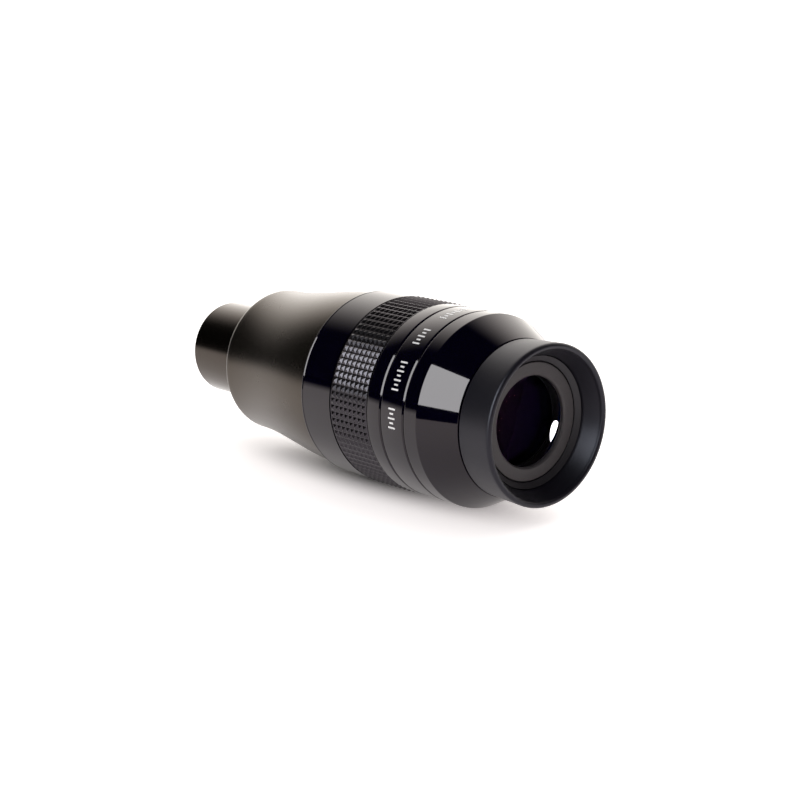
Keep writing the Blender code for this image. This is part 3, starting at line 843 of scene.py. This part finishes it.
SOFTBOX_DISTANCE = 0.9
SOFTBOX_SIZE = (0.45, 0.68)
SOFTBOX_RADIANCE = 11.0
DAYLIGHT_SIZE = (4.2 * MM, 7.6 * MM)
DAYLIGHT_RADIANCE = 2.5
FILL_STRENGTH = 1.8
FILL_SPREAD = math.radians(130)

subject = Vector((cone_x0, 0, AXIS_HEIGHT))
softbox = reflected_lamp("side_softbox", subject + direction(-85, 29) * SOFTBOX_DISTANCE,
                         subject, SOFTBOX_SIZE, SOFTBOX_RADIANCE)
softbox.data.color = linear("#f6ffff")[:3]
far_end = reflected_lamp("far_end_daylight",
                         (middle_x1 + 2.8 * MM, 13.5 * MM, AXIS_HEIGHT - 6.2 * MM),
                         (middle_x1 + 40 * MM, -20 * MM, AXIS_HEIGHT),
                         DAYLIGHT_SIZE, DAYLIGHT_RADIANCE)
far_end.data.shape = "ELLIPSE"
far_end.visible_glossy = False
sun = bpy.data.lights.new("overhead_fill", "SUN")
sun.energy = FILL_STRENGTH
sun.angle = FILL_SPREAD
fill = bpy.data.objects.new("overhead_fill", sun)
fill.rotation_euler = (-direction(-60, 80)).to_track_quat("-Z", "Y").to_euler()
fill.visible_glossy = False
bpy.context.scene.collection.objects.link(fill)

# %% [markdown]
# ## Black flags
# A studio hides what a polished thing shouldn't reflect behind black cards, called flags. Two
# stand on the bench, one beside the body and one past the nose, and keep the bench's far side
# out of the reflections. They show in reflections only.

# %% Black flags
CARD_FOOT = 0.5 * MM


def flag(name, middle, width, height, ramp):
    """A standing black card seen only in reflections; its foot fades in over a ramp's height."""
    paint, shader = new_material(name + "_black_card", Roughness=1.0, Specular_IOR_Level=0.0)
    tinted(paint, shader, noise(paint, object_place(paint), 0.05), "#020202", 0.1)
    height_up = add_node(paint, "ShaderNodeSeparateXYZ", {}, {"Vector": object_place(paint)})
    fade = add_node(paint, "ShaderNodeMapRange", {},
                    {"Value": height_up.outputs["Z"], "From Max": ramp}).outputs["Result"]
    paint.node_tree.links.new(fade, shader.inputs["Alpha"])
    across = Vector((-middle.y, middle.x, 0)).normalized() * width / 2
    left, right = middle - across, middle + across
    corners = [(left, CARD_FOOT), (right, CARD_FOOT), (right, height), (left, height)]
    card = bmesh.new()
    card.faces.new([card.verts.new((side.x, side.y, z)) for side, z in corners])
    mesh = bpy.data.meshes.new(name)
    card.to_mesh(mesh)
    card.free()
    mesh.materials.append(paint)
    holder = bpy.data.objects.new(name, mesh)
    holder.visible_camera = holder.visible_diffuse = holder.visible_shadow = False
    holder.visible_transmission = False
    bpy.context.scene.collection.objects.link(holder)


flag("side_flag", direction(-88, 0) * 0.36, width=0.42, height=0.085, ramp=0.002)
flag("field_flag", direction(-142, 0) * 0.45, width=0.7, height=0.07, ramp=0.035)
print("flags placed")

# %% [markdown]
# ## Backdrop
# A pale backdrop behind the object whitens its upper edges. The room is dark elsewhere. The
# world's strength rises smoothly towards the backdrop's direction.

# %% World
BACKDROP = direction(128, 8)
BACKDROP_EDGE = 0.35                 # how squarely a ray faces the backdrop, as a cosine
BACKDROP_FULL = 0.93
ROOM_STRENGTH = 0.008
BACKDROP_STRENGTH = 2.4
world = bpy.data.worlds.new("studio")
world.use_nodes = True
bpy.context.scene.world = world
sky = world.node_tree.nodes["Background"]
ray = add_node(world, "ShaderNodeTexCoord").outputs["Generated"]
facing = add_node(world, "ShaderNodeVectorMath", {"operation": "DOT_PRODUCT"},
                  {0: ray, 1: BACKDROP}).outputs["Value"]
glow = add_node(world, "ShaderNodeMapRange", {"interpolation_type": "SMOOTHSTEP"},
                {"Value": facing, "From Min": BACKDROP_EDGE, "From Max": BACKDROP_FULL,
                 "To Min": ROOM_STRENGTH, "To Max": BACKDROP_STRENGTH}).outputs["Result"]
world.node_tree.links.new(glow, sky.inputs["Strength"])
sky.inputs["Color"].default_value = linear("#fffaf4")
print("backdrop towards", [round(v, 2) for v in BACKDROP])

# %% [markdown]
# ## View
# The Standard transform keeps the white bench white and the blacks deep.

# %% View
bpy.context.scene.view_settings.view_transform = "Standard"
bpy.context.scene.view_settings.look = "None"
print("view transform:", bpy.context.scene.view_settings.view_transform)
